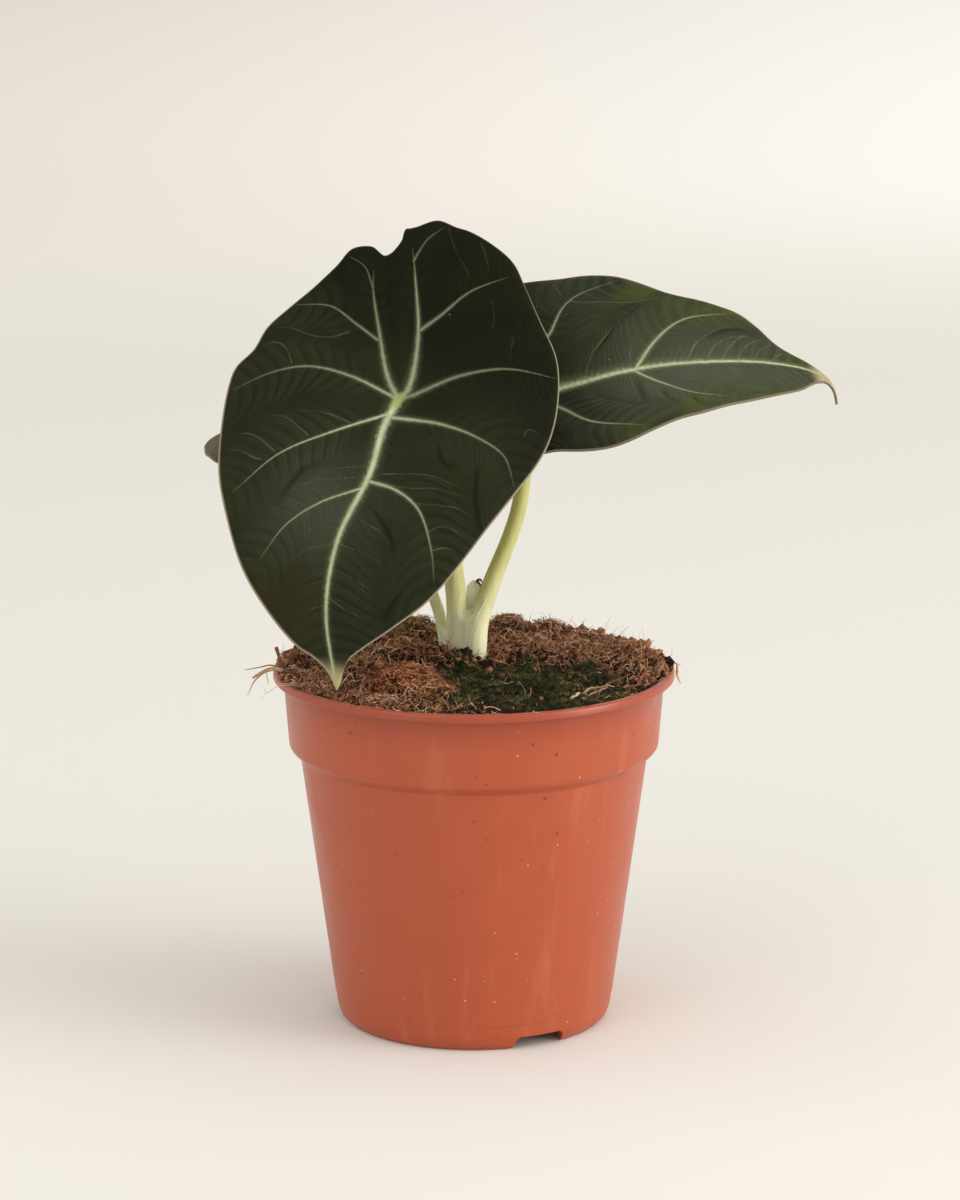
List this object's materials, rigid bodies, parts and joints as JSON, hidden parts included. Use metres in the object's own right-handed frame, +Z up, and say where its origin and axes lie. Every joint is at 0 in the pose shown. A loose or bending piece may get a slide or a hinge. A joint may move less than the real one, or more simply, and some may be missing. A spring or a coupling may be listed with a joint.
{
  "type": "potted alocasia plant",
  "caption": "Potted black velvet alocasia: heart-shaped dark leaves with pale veins on slim stalks, in peat and coir in a round plastic nursery pot.",
  "frame": {"origin": "centre of the pot's base, on the surface that it stands on", "axes": "+Z up; -Y is the front, which the largest leaf faces; +X to the right as seen from the front"},
  "size_m": [0.1921, 0.1357, 0.2385],
  "materials": {
    "pot_plastic": "satin",
    "peat": "matte",
    "coir": "matte",
    "pale_stem": "satin",
    "stalk": "satin",
    "leaf": "matte"
  },
  "bodies": {
    "root": {"pot": "pot_plastic", "soil": "peat", "crown": "pale_stem", "leaf_sheath": "pale_stem", "petiole_front": "stalk", "petiole_right": "stalk", "petiole_left": "stalk", "blade_front": "leaf", "blade_right": "leaf", "blade_left": "leaf", "coir_tuft_front": "coir", "coir_tuft_left": "coir", "coir_tuft_back": "coir", "coir_tuft_right": "coir"}
  },
  "joints": []
}
